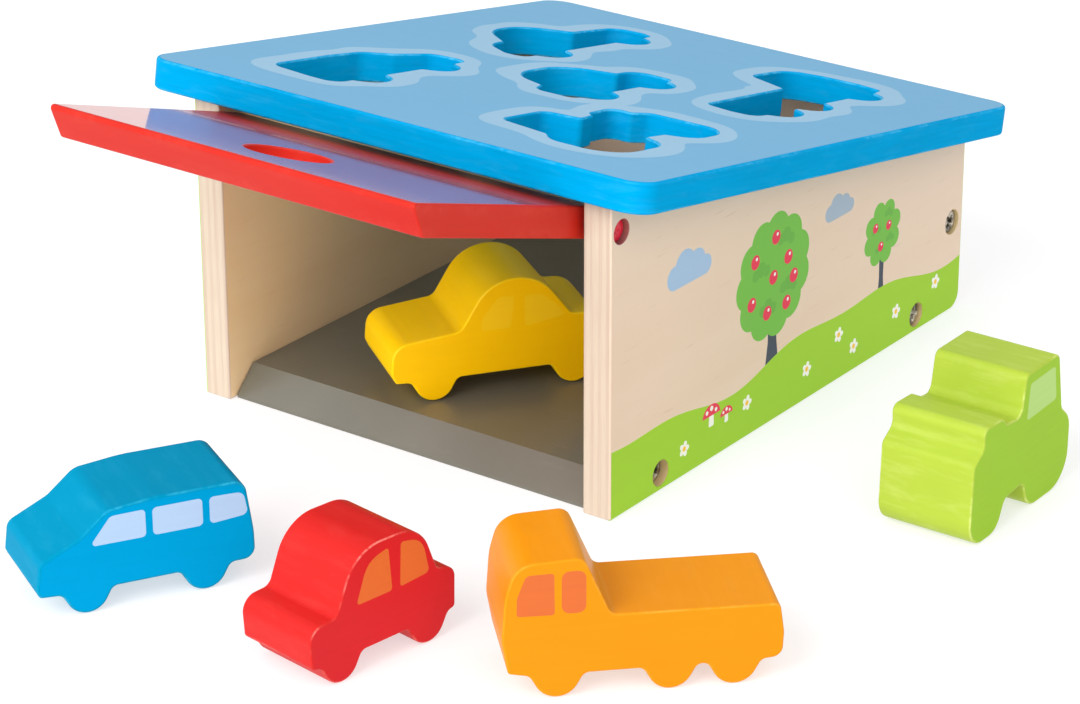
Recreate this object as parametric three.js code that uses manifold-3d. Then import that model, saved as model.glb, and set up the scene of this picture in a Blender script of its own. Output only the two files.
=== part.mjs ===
// A wooden toy garage that is a shape sorter: a sloping lid with five openings, a swinging door, a
// ramp, and five vehicle blocks that drop through the openings. Millimetres, +Z up. The origin is the
// middle of the garage's underside, and the doorway faces -Y.

import * as THREE from "three";
import { mergeVertices } from "three/addons/utils/BufferGeometryUtils.js";
import Module from "manifold-3d";

const wasm = await Module();
wasm.setup();

// Clearances. Pieces that touch on the real toy are drawn a fit gap apart.
const fitGap = 0.3;
const postingGap = 1;
const overrun = 2;

// Garage shell: two side walls, a back wall and a floor between them
const garageWidth = 151;
const garageDepth = 194.6;
const frontHeight = 96.6;
const rearHeight = 61.1;
const wallThickness = 9.5;
const backThickness = 9.5;
const backInset = 1.6;
const lowerCorner = 5;
const plyEase = 0.5;

// Floor, whose front end is a ramp behind a low lip
const floorThickness = 8.9;
const floorSetback = 2.7;
const rampLip = 1;
const rampSlope = THREE.MathUtils.degToRad(45);

// Lid, which stands out past the shell at its front, its rear and its sides
const lidThickness = 9.2;
const lidSide = 14.15;
const lidFront = 6.6;
const lidRear = 3.6;
const lidCorner = 8;
const lidEase = 0.8;

// Door, hung on two pins near the front edges of the side walls, close below their top edges
const hingeSetback = 4.8;
const hingeBelowRoof = 8.5;
const doorGroundGap = 3.6;
const doorThickness = 9.4;
const doorMitre = 7.6;
const doorSideGap = 2;
const doorEase = 0.5;
const doorTipRound = 1;
const doorOpening = THREE.MathUtils.degToRad(18.3);
const fingerHole = { radius: 12.2, fromTip: 28 };
const hingePin = { radius: 2, inDoor: 16, ease: 0.4 };
const hingeCap = { radius: 3.5, length: 3, recess: 1.6, ease: 0.3 };

// Screws and dowels
const screw = {
  headRadius: 3.7,
  headHeight: 2.2,
  crown: 0.9,
  shankRadius: 1.75,
  length: 25,
  tip: 4,
  slotLength: 4.2,
  slotWidth: 1.1,
  slotDepth: 1.3,
};
const floorScrew = { heightShare: 0.6, fromFront: 25.5, frontRecess: 2.4, fromRear: 26.4, rearRecess: 1.2 };
const backScrew = { heightShare: 0.5, recess: 0.8 };
const dowel = { radius: 2.5, length: 14, inLid: 5, ease: 0.5 };
const lidDowelFromFront = 30;
const lidDowelFromRear = 44;
const backDowelSpacing = 70;

// Vehicle blocks. Each has a wheel lobe at every axle, and all but the tractor share one belly height.
const blockThickness = 30;
const blockEase = 0.7;
const bellyHeight = 6.5;
const wheelLobe = { foot: 3.6, flare: 3.6, radius: 6.2, bellyRadius: 2.5 };

// Outlines from the nose at 0 to the tail at 1: share of the length, share of the height, and the
// corner's rounding as a share of the height. Axles are shares of the length.
const vanShares = {
  axles: [0.768, 0.228],
  corners: [
    [0.013, 0.227, 0.039], [0, 0.292, 0.049], [0.016, 0.552, 0.114], [0.203, 0.734, 0.195],
    [0.331, 0.955, 0.195], [0.547, 1, 0.974], [0.961, 0.994, 0.13], [0.997, 0.487, 0.649],
    [1, 0.215, 0.11],
  ],
};
const redCarShares = {
  axles: [0.81, 0.224],
  corners: [
    [0.03, 0.193, 0.041], [0.015, 0.519, 0.138], [0.198, 0.53, 0.083], [0.327, 1, 0.387],
    [0.768, 0.989, 0.387], [0.875, 0.58, 0.07], [1, 0.519, 0.097], [0.996, 0.199, 0.033],
  ],
};
const truckShares = {
  axles: [0.825, 0.596, 0.194],
  corners: [
    [0.022, 0.191, 0.025], [0, 0.427, 0.302], [0.011, 0.729, 0.503], [0.049, 0.975, 0.201],
    [0.288, 1, 0.088], [0.385, 0.578, 0.068], [0.984, 0.568, 0.05], [1, 0.352, 0.151],
    [0.995, 0.175, 0.126],
  ],
};
const yellowCarShares = {
  axles: [0.815, 0.191],
  corners: [
    [0.02, 0.188, 0.033], [0, 0.276, 0.083], [0.011, 0.525, 0.193], [0.308, 0.586, 0.097],
    [0.436, 1, 0.387], [0.655, 1, 0.387], [0.803, 0.624, 0.069], [0.917, 0.608, 0.249],
    [1, 0.331, 0.11], [0.994, 0.19, 0.055],
  ],
};
const tractorShares = {
  axles: [],
  corners: [
    [0.019, 0.588, 0.058], [0.113, 0.668, 0.065], [0.106, 0.811, 0.058], [0.295, 0.802, 0.058],
    [0.332, 0.742, 0.065], [0.476, 0.724, 0.065], [0.514, 1, 0.058], [0.85, 1, 0.058],
    [0.906, 0.576, 0.092], [1, 0.472, 0.207], [0.997, 0, 0.253], [0.585, 0, 0.219],
    [0.529, 0.217, 0.065], [0.349, 0.194, 0.069], [0.279, 0, 0.15], [0, 0, 0.173],
  ],
};

// Each block's size, and the middle of its opening on the lid, as shares of the lid's width from the
// middle line and of the roof's length from the walls' front edge
const van = {
  length: 62.2,
  height: 30.8,
  thickness: blockThickness,
  acrossShare: -0.265,
  downShare: 0.255,
};
const redCar = {
  length: 52.6,
  height: 36.2,
  thickness: 27,
  acrossShare: -0.004,
  downShare: 0.492,
};
const truck = {
  length: 74.2,
  height: 39.8,
  thickness: blockThickness,
  acrossShare: 0.23,
  downShare: 0.709,
};
const yellowCar = {
  length: 70.2,
  height: 36.2,
  thickness: blockThickness,
  acrossShare: -0.256,
  downShare: 0.721,
};
const tractor = {
  length: 57.2,
  height: 43.4,
  thickness: blockThickness,
  acrossShare: 0.228,
  downShare: 0.233,
};

// Where each block stands: across from the middle line, ahead of the walls' front edge, and turned by
// its yaw. The truck stands beside the red car, and the tractor beside the right wall.
const vanPlace = { across: -11.2, ahead: 105.3, yaw: 60.5 };
const redCarPlace = { across: 62, ahead: 100.7, yaw: 81 };
const truckPlace = { besideRedCar: 66.7, ahead: 64.3, yaw: 44.9 };
const yellowCarPlace = { across: -2.4, behindFront: 46.8, yaw: 54.5 };
const tractorPlace = { besideWall: 76.9, behindFront: 71.8, yaw: 90.4 };

// Facets
const arcStep = THREE.MathUtils.degToRad(20);
const holeFacets = 24;
const fingerHoleFacets = 48;
const coordinates = 3;
const samePoint = 0.001;

// Places that follow from the sizes above
const wallFront = -garageDepth / 2;
const wallRear = garageDepth / 2;
const wallOuter = garageWidth / 2;
const wallInner = wallOuter - wallThickness;
const roofSlope = Math.atan2(frontHeight - rearHeight, garageDepth);
const roofLength = Math.hypot(frontHeight - rearHeight, garageDepth);
const lidWidth = garageWidth + 2 * lidSide;
const panelWidth = 2 * (wallInner - fitGap);
const backRear = wallRear - backInset;
const backFront = backRear - backThickness;
const floorFront = wallFront + floorSetback;
const floorRear = backFront - fitGap;
const hingeY = wallFront + hingeSetback;
const hingeHeight = roofHeightAt(hingeY) - hingeBelowRoof;
const doorLength = hingeHeight - doorGroundGap;
const doorWidth = 2 * (wallInner - doorSideGap);
const capInner = wallOuter - hingeCap.recess - hingeCap.length;

function roofHeightAt(y) {
  return frontHeight - (y - wallFront) * Math.tan(roofSlope);
}

// Materials
function finish(color, roughness, metalness = 0) {
  return new THREE.MeshStandardMaterial({ color, roughness, metalness });
}
const plywood = finish(0xdfc8ae, 0.7);
const lidPaint = finish(0x32aee2, 0.35);
const doorPaint = finish(0xed4a40, 0.25);
const floorPaint = finish(0x7a7264, 0.5);
const steel = finish(0xb9b6ae, 0.35, 1);
const capPlastic = finish(0xd7233c, 0.3);
const dowelWood = finish(0xd6b189, 0.8);
const vanPaint = finish(0x00a0de, 0.35);
const redCarPaint = finish(0xee2634, 0.35);
const truckPaint = finish(0xfa9b19, 0.35);
const yellowCarPaint = finish(0xffd20a, 0.35);
const tractorPaint = finish(0x9ecd3a, 0.35);

// Closed geometry to a solid, and back again after cuts
function solidOf(geometry) {
  const bare = new THREE.BufferGeometry();
  bare.setAttribute("position", geometry.attributes.position);
  bare.setIndex(geometry.index);
  const merged = mergeVertices(bare);
  return new wasm.Manifold(new wasm.Mesh({
    numProp: coordinates,
    vertProperties: merged.attributes.position.array,
    triVerts: Uint32Array.from(merged.index.array),
  }));
}

function geometryOf(solid) {
  const mesh = solid.getMesh();
  const geometry = new THREE.BufferGeometry();
  geometry.setAttribute("position", new THREE.BufferAttribute(mesh.vertProperties, coordinates));
  geometry.setIndex(new THREE.BufferAttribute(mesh.triVerts, 1));
  geometry.computeVertexNormals();
  return geometry;
}

function cut(geometry, cutters) {
  let solid = solidOf(geometry);
  for (const cutter of cutters) {
    solid = solid.subtract(solidOf(cutter));
  }
  return geometryOf(solid);
}

// Points along the arc that rounds one corner, between its neighbours
function roundedCorner(before, corner, after) {
  const [x, y, radius] = corner;
  const back = new THREE.Vector2(before[0] - x, before[1] - y);
  const on = new THREE.Vector2(after[0] - x, after[1] - y);
  const half = Math.acos(THREE.MathUtils.clamp(back.dot(on) / (back.length() * on.length()), -1, 1)) / 2;
  const reach = Math.min(radius / Math.tan(half), back.length() / 2, on.length() / 2);
  const arcRadius = reach * Math.tan(half);
  const away = back.clone().normalize().add(on.clone().normalize()).setLength(arcRadius / Math.sin(half));
  const centre = new THREE.Vector2(x, y).add(away);
  const start = new THREE.Vector2(x, y).add(back.setLength(reach)).sub(centre);
  const sweep = (Math.PI - 2 * half) * Math.sign(back.cross(on));
  const steps = Math.max(1, Math.round(Math.abs(sweep) / arcStep));
  const points = [];
  for (let i = 0; i <= steps; i += 1) {
    const turn = -sweep * i / steps;
    const dx = start.x * Math.cos(turn) - start.y * Math.sin(turn);
    const dy = start.x * Math.sin(turn) + start.y * Math.cos(turn);
    points.push(new THREE.Vector2(centre.x + dx, centre.y + dy));
  }
  return points;
}

// A closed outline from corners given as [across, up, rounding]. Arcs that meet share their end point.
function roundedOutline(corners) {
  const points = corners.flatMap((corner, i) => {
    const before = corners.at(i - 1);
    const after = corners[(i + 1) % corners.length];
    return roundedCorner(before, corner, after);
  });
  return points.filter((point, i) => point.distanceTo(points.at(i - 1)) > samePoint);
}

// The same outline moved outwards by a distance, each point along its corner's mitre
function offsetOutline(points, distance) {
  const outward = THREE.ShapeUtils.isClockWise(points) ? -1 : 1;
  return points.map((point, i) => {
    const before = points.at(i - 1);
    const after = points[(i + 1) % points.length];
    const into = point.clone().sub(before).normalize();
    const out = after.clone().sub(point).normalize();
    const mitre = new THREE.Vector2(into.y + out.y, -into.x - out.x);
    mitre.multiplyScalar(outward * distance / (1 + into.dot(out)));
    return point.clone().add(mitre);
  });
}

// A plate of one outline with eased edges, standing on z = 0
function plate(outline, thickness, ease) {
  const geometry = new THREE.ExtrudeGeometry(new THREE.Shape(outline), {
    depth: thickness - 2 * ease,
    bevelEnabled: true,
    bevelThickness: ease,
    bevelSize: ease,
    bevelOffset: -ease,
    bevelSegments: 1,
  });
  return geometry.translate(0, 0, ease);
}

// A cutter for an opening of one outline through a plate that stands on z = 0. It flares by the ease at
// both faces, and runs past them.
function flaredCutter(outline, thickness, ease) {
  const levels = [[-overrun, ease], [0, ease], [ease, 0]];
  const upperLevels = levels.map(([z, flare]) => [thickness - z, flare]).reverse();
  const loops = [...levels, ...upperLevels].map(([z, flare]) => {
    return offsetOutline(outline, flare).map((point) => new THREE.Vector3(point.x, point.y, z));
  });
  const count = outline.length;
  const cap = THREE.ShapeUtils.triangulateShape(outline, []);
  const top = (loops.length - 1) * count;
  const faces = cap.flatMap(([a, b, c]) => [c, b, a, top + a, top + b, top + c]);
  for (let level = 0; level + 1 < loops.length; level += 1) {
    for (let i = 0; i < count; i += 1) {
      const a = level * count + i;
      const b = level * count + (i + 1) % count;
      faces.push(a, b, b + count, a, b + count, a + count);
    }
  }
  return new THREE.BufferGeometry().setFromPoints(loops.flat()).setIndex(faces);
}

// A plate of a side view, drawn rearwards and up, that runs from one x to another
function sidePlate(outline, fromX, toX, ease) {
  const across = new THREE.Vector3(1, 0, 0);
  const rearwards = new THREE.Vector3(0, 1, 0);
  const up = new THREE.Vector3(0, 0, 1);
  const geometry = plate(outline, toX - fromX, ease);
  geometry.applyMatrix4(new THREE.Matrix4().makeBasis(rearwards, up, across));
  return geometry.translate(fromX, 0, 0);
}

// Round bars along X, Y or Z, from one end to the other
function barAlongZ(radius, fromZ, toZ, facets = holeFacets) {
  const geometry = new THREE.CylinderGeometry(radius, radius, toZ - fromZ, facets);
  geometry.rotateX(Math.PI / 2);
  return geometry.translate(0, 0, (fromZ + toZ) / 2);
}

function barAlongX(radius, fromX, toX) {
  return barAlongZ(radius, fromX, toX).rotateY(Math.PI / 2);
}

function barAlongY(radius, fromY, toY) {
  return barAlongZ(radius, fromY, toY).rotateX(-Math.PI / 2);
}

// A turned piece along Y from 0 to its length, with both end edges eased
function turnedPeg(radius, length, ease) {
  const profile = [
    new THREE.Vector2(0, 0),
    new THREE.Vector2(radius - ease, 0),
    new THREE.Vector2(radius, ease),
    new THREE.Vector2(radius, length - ease),
    new THREE.Vector2(radius - ease, length),
    new THREE.Vector2(0, length),
  ];
  return new THREE.LatheGeometry(profile, holeFacets);
}

// Where the side walls' screws go, with how deep each head lies below the wall's face
const floorScrewHeight = floorScrew.heightShare * floorThickness;
const backScrewHeight = backScrew.heightShare * rearHeight;
const screwPlaces = {
  front: { y: wallFront + floorScrew.fromFront, z: floorScrewHeight, recess: floorScrew.frontRecess },
  rear: { y: wallRear - floorScrew.fromRear, z: floorScrewHeight, recess: floorScrew.rearRecess },
  back: { y: (backFront + backRear) / 2, z: backScrewHeight, recess: backScrew.recess },
};
const sides = { left: -1, right: 1 };

// Lid dowels, across and down the slope
const sideDowelX = wallOuter - wallThickness / 2;
const backDowelDown = (backFront + backRear + garageDepth) / 2 / Math.cos(roofSlope);
const lidDowels = {
  left_front: [-sideDowelX, lidDowelFromFront],
  left_rear: [-sideDowelX, roofLength - lidDowelFromRear],
  right_front: [sideDowelX, lidDowelFromFront],
  right_rear: [sideDowelX, roofLength - lidDowelFromRear],
  back_left: [-backDowelSpacing / 2, backDowelDown],
  back_right: [backDowelSpacing / 2, backDowelDown],
};
const floorDowels = { left: -backDowelSpacing / 2, right: backDowelSpacing / 2 };
const floorDowelFront = floorRear + dowel.inLid - dowel.length + fitGap;

// From the roof's own frame, with its origin on the walls' front top edge, to the garage's
const roofPlacement = new THREE.Matrix4()
  .makeTranslation(0, wallFront, frontHeight)
  .multiply(new THREE.Matrix4().makeRotationX(-roofSlope));

// Blind holes for the lid dowels, cut into the walls or into the lid
function lidDowelHoles() {
  return Object.values(lidDowels).map(([across, down]) => {
    const depth = dowel.length - dowel.inLid + fitGap;
    const bottom = fitGap - depth;
    return barAlongZ(dowel.radius + fitGap, bottom, fitGap + dowel.inLid + fitGap).translate(across, down, 0);
  });
}

function placedOnRoof(geometries) {
  return geometries.map((geometry) => geometry.applyMatrix4(roofPlacement));
}

function floorDowelHoles() {
  return Object.values(floorDowels).map((x) => {
    const front = floorDowelFront - fitGap;
    const rear = floorDowelFront + dowel.length + fitGap;
    return barAlongY(dowel.radius + fitGap, front, rear).translate(x, 0, floorThickness / 2);
  });
}

// Counterbore and shank hole of one screw, for the wall and for the piece that it holds
function screwHoles(side, place) {
  const headSeat = wallOuter - place.recess - screw.headHeight - fitGap;
  const tipEnd = wallOuter - place.recess - screw.length - fitGap;
  const counterbore = barAlongX(screw.headRadius + fitGap, headSeat, wallOuter + overrun);
  const shankHole = barAlongX(screw.shankRadius + fitGap, tipEnd, headSeat + fitGap);
  return [counterbore, shankHole].map((hole) => {
    const turned = side < 0 ? hole.rotateY(Math.PI) : hole;
    return turned.translate(0, place.y, place.z);
  });
}

function allScrewHoles() {
  return Object.values(sides).flatMap((side) => {
    return Object.values(screwPlaces).flatMap((place) => screwHoles(side, place));
  });
}

// Cap hole and pin hole of one hinge, through the wall
function hingeHoles(side) {
  const capHole = barAlongX(hingeCap.radius + fitGap, capInner - fitGap, wallOuter + overrun);
  const pinHole = barAlongX(hingePin.radius + fitGap, wallInner - overrun, capInner);
  return [capHole, pinHole].map((hole) => {
    const turned = side < 0 ? hole.rotateY(Math.PI) : hole;
    return turned.translate(0, hingeY, hingeHeight);
  });
}

function sideWall(side) {
  const outline = roundedOutline([
    [wallFront, 0, 0],
    [wallRear, 0, lowerCorner],
    [wallRear, rearHeight, 0],
    [wallFront, frontHeight, 0],
  ]);
  const fromX = side < 0 ? -wallOuter : wallInner;
  const toX = side < 0 ? -wallInner : wallOuter;
  const board = sidePlate(outline, fromX, toX, plyEase);
  return cut(board, [...allScrewHoles(), ...hingeHoles(side), ...placedOnRoof(lidDowelHoles())]);
}

function backWall() {
  const outline = roundedOutline([
    [backFront, 0, 0],
    [backRear, 0, 0],
    [backRear, roofHeightAt(backRear), 0],
    [backFront, roofHeightAt(backFront), 0],
  ]);
  const board = sidePlate(outline, -panelWidth / 2, panelWidth / 2, plyEase);
  return cut(board, [...allScrewHoles(), ...placedOnRoof(lidDowelHoles()), ...floorDowelHoles()]);
}

function floorPanel() {
  const rampRun = (floorThickness - rampLip) / Math.tan(rampSlope);
  const outline = roundedOutline([
    [floorFront, 0, 0],
    [floorRear, 0, 0],
    [floorRear, floorThickness, 0],
    [floorFront + rampRun, floorThickness, 0],
    [floorFront, rampLip, 0],
  ]);
  const ease = plyEase / 2;
  const board = sidePlate(outline, -panelWidth / 2, panelWidth / 2, ease);
  return cut(board, [...allScrewHoles(), ...floorDowelHoles()]);
}

// One block's side view, from its nose at 0 along its length, standing on 0
function vehicleOutline(vehicle, shares) {
  const { foot, flare, radius, bellyRadius } = wheelLobe;
  const body = shares.corners.map(([along, up, rounding]) => {
    return [along * vehicle.length, up * vehicle.height, rounding * vehicle.height];
  });
  const wheels = shares.axles.flatMap((share) => {
    const axle = share * vehicle.length;
    return [
      [axle + foot + flare, bellyHeight, bellyRadius],
      [axle + foot, 0, radius],
      [axle - foot, 0, radius],
      [axle - foot - flare, bellyHeight, bellyRadius],
    ];
  });
  return roundedOutline([...body, ...wheels]);
}

// One opening on the lid, a posting gap larger than the block's side view all round, with the nose
// down the slope and the wheels towards +X
function postingOpening(vehicle, shares) {
  const across = vehicle.acrossShare * lidWidth;
  const down = vehicle.downShare * roofLength;
  const wider = offsetOutline(vehicleOutline(vehicle, shares), postingGap);
  const laid = wider.map((point) => {
    const x = across + vehicle.height / 2 - point.y;
    const y = down + vehicle.length / 2 - point.x;
    return new THREE.Vector2(x, y);
  });
  return THREE.ShapeUtils.isClockWise(laid) ? laid.reverse() : laid;
}

function lid() {
  const halfWidth = lidWidth / 2;
  const lowerEnd = roofLength + lidRear;
  const outline = roundedOutline([
    [-halfWidth, -lidFront, lidCorner],
    [halfWidth, -lidFront, lidCorner],
    [halfWidth, lowerEnd, lidCorner],
    [-halfWidth, lowerEnd, lidCorner],
  ]);
  const openings = [
    postingOpening(van, vanShares),
    postingOpening(redCar, redCarShares),
    postingOpening(truck, truckShares),
    postingOpening(yellowCar, yellowCarShares),
    postingOpening(tractor, tractorShares),
  ];
  const cutters = openings.map((opening) => {
    return flaredCutter(opening, lidThickness, lidEase).translate(0, 0, fitGap);
  });
  const board = plate(outline, lidThickness, lidEase).translate(0, 0, fitGap);
  return cut(board, [...cutters, ...lidDowelHoles()]).applyMatrix4(roofPlacement);
}

// The door lies level here, from its hinge axis at 0 towards -Y, with its outer face up
function door() {
  const half = doorThickness / 2;
  const outline = roundedOutline([
    [half, -half, half],
    [half, half, half],
    [-doorLength, half, doorTipRound],
    [doorMitre - doorLength, -half, doorTipRound],
  ]);
  const board = sidePlate(outline, -doorWidth / 2, doorWidth / 2, doorEase);
  const finger = barAlongZ(fingerHole.radius, -doorThickness, doorThickness, fingerHoleFacets);
  const fingerY = fingerHole.fromTip - doorLength;
  const pinDepth = doorWidth / 2 - hingePin.inDoor - fitGap;
  const boreRight = barAlongX(hingePin.radius + fitGap, pinDepth, doorWidth / 2 + overrun);
  const boreLeft = barAlongX(hingePin.radius + fitGap, -doorWidth / 2 - overrun, -pinDepth);
  return cut(board, [finger.translate(0, fingerY, 0), boreRight, boreLeft]);
}

// Pieces that go into the right wall from outside, drawn along +X with their outer end at x = 0
function hingeCapPiece() {
  const { radius, length, ease } = hingeCap;
  return turnedPeg(radius, length, ease).rotateZ(Math.PI / 2);
}

function hingePinPiece() {
  const length = capInner - fitGap - doorWidth / 2 + hingePin.inDoor;
  return turnedPeg(hingePin.radius, length, hingePin.ease).rotateZ(Math.PI / 2);
}

// A screw with a low domed head and a cross slot
function screwPiece() {
  const { headRadius, headHeight, crown, shankRadius, length, tip } = screw;
  const profile = [
    new THREE.Vector2(0, 0),
    new THREE.Vector2(headRadius / 2, crown / 4),
    new THREE.Vector2(headRadius, crown),
    new THREE.Vector2(headRadius, headHeight),
    new THREE.Vector2(shankRadius, headHeight),
    new THREE.Vector2(shankRadius, length - tip),
    new THREE.Vector2(0, length),
  ];
  const turned = new THREE.LatheGeometry(profile, holeFacets).rotateZ(Math.PI / 2);
  const { slotLength, slotWidth, slotDepth } = screw;
  const slots = [0, Math.PI / 2].map((turn) => {
    const slot = new THREE.BoxGeometry(2 * slotDepth, slotWidth, slotLength);
    return slot.rotateX(turn);
  });
  return cut(turned, slots);
}

function dowelPiece() {
  return turnedPeg(dowel.radius, dowel.length, dowel.ease);
}

function vehicleBlock(vehicle, shares) {
  const standing = plate(vehicleOutline(vehicle, shares), vehicle.thickness, blockEase);
  standing.rotateX(Math.PI / 2);
  return standing.translate(-vehicle.length / 2, vehicle.thickness / 2, 0);
}

// Assembly
const garage = new THREE.Group();

function add(name, geometry, material, parent = garage) {
  const mesh = new THREE.Mesh(geometry, material);
  mesh.name = name;
  parent.add(mesh);
  return mesh;
}

function addShell() {
  add("left_wall", sideWall(sides.left), plywood);
  add("right_wall", sideWall(sides.right), plywood);
  add("back_wall", backWall(), plywood);
  add("floor_panel", floorPanel(), floorPaint);
  add("lid", lid(), lidPaint);
}

function addDoor() {
  const hung = add("door", door(), doorPaint);
  hung.position.set(0, hingeY, hingeHeight);
  hung.rotation.x = -doorOpening;
}

// A piece from outside one wall: its outer end lies a recess below that wall's face
function addFromOutside(name, geometry, material, side, depth, y, z) {
  const mesh = add(name, geometry, material);
  mesh.position.set(side * (wallOuter - depth), y, z);
  mesh.rotation.z = side < 0 ? Math.PI : 0;
}

function addHinge(sideName) {
  const side = sides[sideName];
  const cap = hingeCapPiece();
  const pin = hingePinPiece();
  const pinRecess = wallOuter - capInner + fitGap;
  addFromOutside(`hinge_cap_${sideName}`, cap, capPlastic, side, hingeCap.recess, hingeY, hingeHeight);
  addFromOutside(`hinge_pin_${sideName}`, pin, steel, side, pinRecess, hingeY, hingeHeight);
}

function addScrews(sideName) {
  for (const [placeName, place] of Object.entries(screwPlaces)) {
    const name = `screw_${sideName}_${placeName}`;
    addFromOutside(name, screwPiece(), steel, sides[sideName], place.recess, place.y, place.z);
  }
}

function addLidDowels() {
  for (const [placeName, [across, down]] of Object.entries(lidDowels)) {
    const geometry = dowelPiece().rotateX(Math.PI / 2);
    geometry.translate(across, down, fitGap + dowel.inLid - dowel.length);
    add(`lid_dowel_${placeName}`, geometry.applyMatrix4(roofPlacement), dowelWood);
  }
}

function addFloorDowels() {
  for (const [placeName, x] of Object.entries(floorDowels)) {
    const peg = add(`floor_dowel_${placeName}`, dowelPiece(), dowelWood);
    peg.position.set(x, floorDowelFront, floorThickness / 2);
  }
}

function addVehicle(name, geometry, material, position, yaw) {
  const block = add(name, geometry, material);
  block.position.set(...position);
  block.rotation.z = THREE.MathUtils.degToRad(yaw);
}

function addVan() {
  const { across, ahead, yaw } = vanPlace;
  const block = vehicleBlock(van, vanShares);
  addVehicle("block_van", block, vanPaint, [across, wallFront - ahead, 0], yaw);
}

function addRedCar() {
  const { across, ahead, yaw } = redCarPlace;
  const block = vehicleBlock(redCar, redCarShares);
  addVehicle("block_car_red", block, redCarPaint, [across, wallFront - ahead, 0], yaw);
}

function addTruck() {
  const { besideRedCar, ahead, yaw } = truckPlace;
  const block = vehicleBlock(truck, truckShares);
  const x = redCarPlace.across + besideRedCar;
  addVehicle("block_truck", block, truckPaint, [x, wallFront - ahead, 0], yaw);
}

// The yellow car stands on the garage floor
function addYellowCar() {
  const { across, behindFront, yaw } = yellowCarPlace;
  const block = vehicleBlock(yellowCar, yellowCarShares);
  const standsOn = floorThickness + fitGap;
  addVehicle("block_car_yellow", block, yellowCarPaint, [across, wallFront + behindFront, standsOn], yaw);
}

function addTractor() {
  const { besideWall, behindFront, yaw } = tractorPlace;
  const block = vehicleBlock(tractor, tractorShares);
  const x = wallOuter + besideWall;
  addVehicle("block_tractor", block, tractorPaint, [x, wallFront + behindFront, 0], yaw);
}

addShell();
addDoor();
for (const sideName of Object.keys(sides)) {
  addHinge(sideName);
  addScrews(sideName);
}
addLidDowels();
addFloorDowels();
addVan();
addRedCar();
addTruck();
addYellowCar();
addTractor();

export default garage;
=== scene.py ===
import math

import bpy
import numpy as np
from mathutils import Matrix, Vector
from mathutils.geometry import delaunay_2d_cdt


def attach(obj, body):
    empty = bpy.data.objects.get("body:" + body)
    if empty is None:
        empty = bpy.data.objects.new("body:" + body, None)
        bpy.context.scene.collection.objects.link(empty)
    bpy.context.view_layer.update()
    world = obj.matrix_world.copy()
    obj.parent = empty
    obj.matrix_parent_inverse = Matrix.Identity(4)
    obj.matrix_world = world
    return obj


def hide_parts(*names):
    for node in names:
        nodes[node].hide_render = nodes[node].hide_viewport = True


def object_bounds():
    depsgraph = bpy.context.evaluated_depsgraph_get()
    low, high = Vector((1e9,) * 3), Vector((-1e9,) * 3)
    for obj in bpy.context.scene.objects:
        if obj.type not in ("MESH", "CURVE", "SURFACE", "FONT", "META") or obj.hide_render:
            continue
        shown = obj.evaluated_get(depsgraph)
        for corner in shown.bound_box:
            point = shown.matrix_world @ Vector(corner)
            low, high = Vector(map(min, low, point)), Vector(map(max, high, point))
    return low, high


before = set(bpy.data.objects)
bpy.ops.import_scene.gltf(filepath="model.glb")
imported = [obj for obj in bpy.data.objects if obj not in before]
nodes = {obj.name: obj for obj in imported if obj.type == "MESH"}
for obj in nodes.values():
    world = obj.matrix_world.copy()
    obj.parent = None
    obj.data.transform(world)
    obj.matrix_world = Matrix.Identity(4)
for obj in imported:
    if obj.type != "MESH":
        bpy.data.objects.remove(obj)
cadBox = [list(corner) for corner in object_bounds()]
print("frame loaded,", len(nodes), "nodes")

mm = 0.001  # sizes are in millimetres up to the studio, and meshes in metres
tinyLength = 0.01  # a shorter step counts as none
gentleTurn = 0.25  # radians for each millimetre, below which a corner gets neither wear nor painted highlight
printStep = 15  # degrees from point to point in the rounded corners of a print


# Outlines

def lengths(vectors):
    return np.linalg.norm(vectors, axis=-1)


def unit(vectors):
    return vectors / np.maximum(lengths(vectors), 1e-12)[..., None]


def enclosedArea(points):
    after = np.roll(points, -1, 0)
    return (points[:, 0] * after[:, 1] - points[:, 1] * after[:, 0]).sum() / 2


# Anticlockwise
def turned(points):
    return points if enclosedArea(points) > 0 else points[::-1]


# Each corner [x, y, rounding] becomes the arc that touches both its sides. It starts before the corner,
# by the rounding divided by the tangent of half the angle.
def roundedOutline(corners, step=5):
    corners = np.array(corners, float)
    points = corners[:, :2]
    back = np.roll(points, 1, 0) - points
    on = np.roll(points, -1, 0) - points
    sides = np.minimum(lengths(back), lengths(on))
    half = np.arccos(np.clip((unit(back) * unit(on)).sum(1), -1, 1)) / 2
    reach = np.minimum(corners[:, 2] / np.tan(half), sides / 2)
    radius = reach * np.tan(half)
    centre = points + unit(unit(back) + unit(on)) * (radius / np.sin(half))[:, None]
    start = points + unit(back) * reach[:, None] - centre
    sweep = (2 * half - math.pi) * np.sign(back[:, 0] * on[:, 1] - back[:, 1] * on[:, 0])
    arcs = []
    for centreHere, startHere, sweepHere in zip(centre, start, sweep):
        count = max(2, round(abs(math.degrees(sweepHere)) / step) + 1)
        ways = directions(sweepHere * np.linspace(0, 1, count))
        arcs.append(centreHere + (startHere[0] * ways + startHere[1] * ways[:, ::-1] * (-1, 1)))
    loop = np.concatenate(arcs)
    return loop[lengths(loop - np.roll(loop, 1, 0)) > tinyLength]


def rectangle(x0, y0, x1, y1, rounding, step):
    corners = [[x, y, rounding] for x, y in ((x0, y0), (x1, y0), (x1, y1), (x0, y1))]
    return turned(roundedOutline(corners, step))


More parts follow.
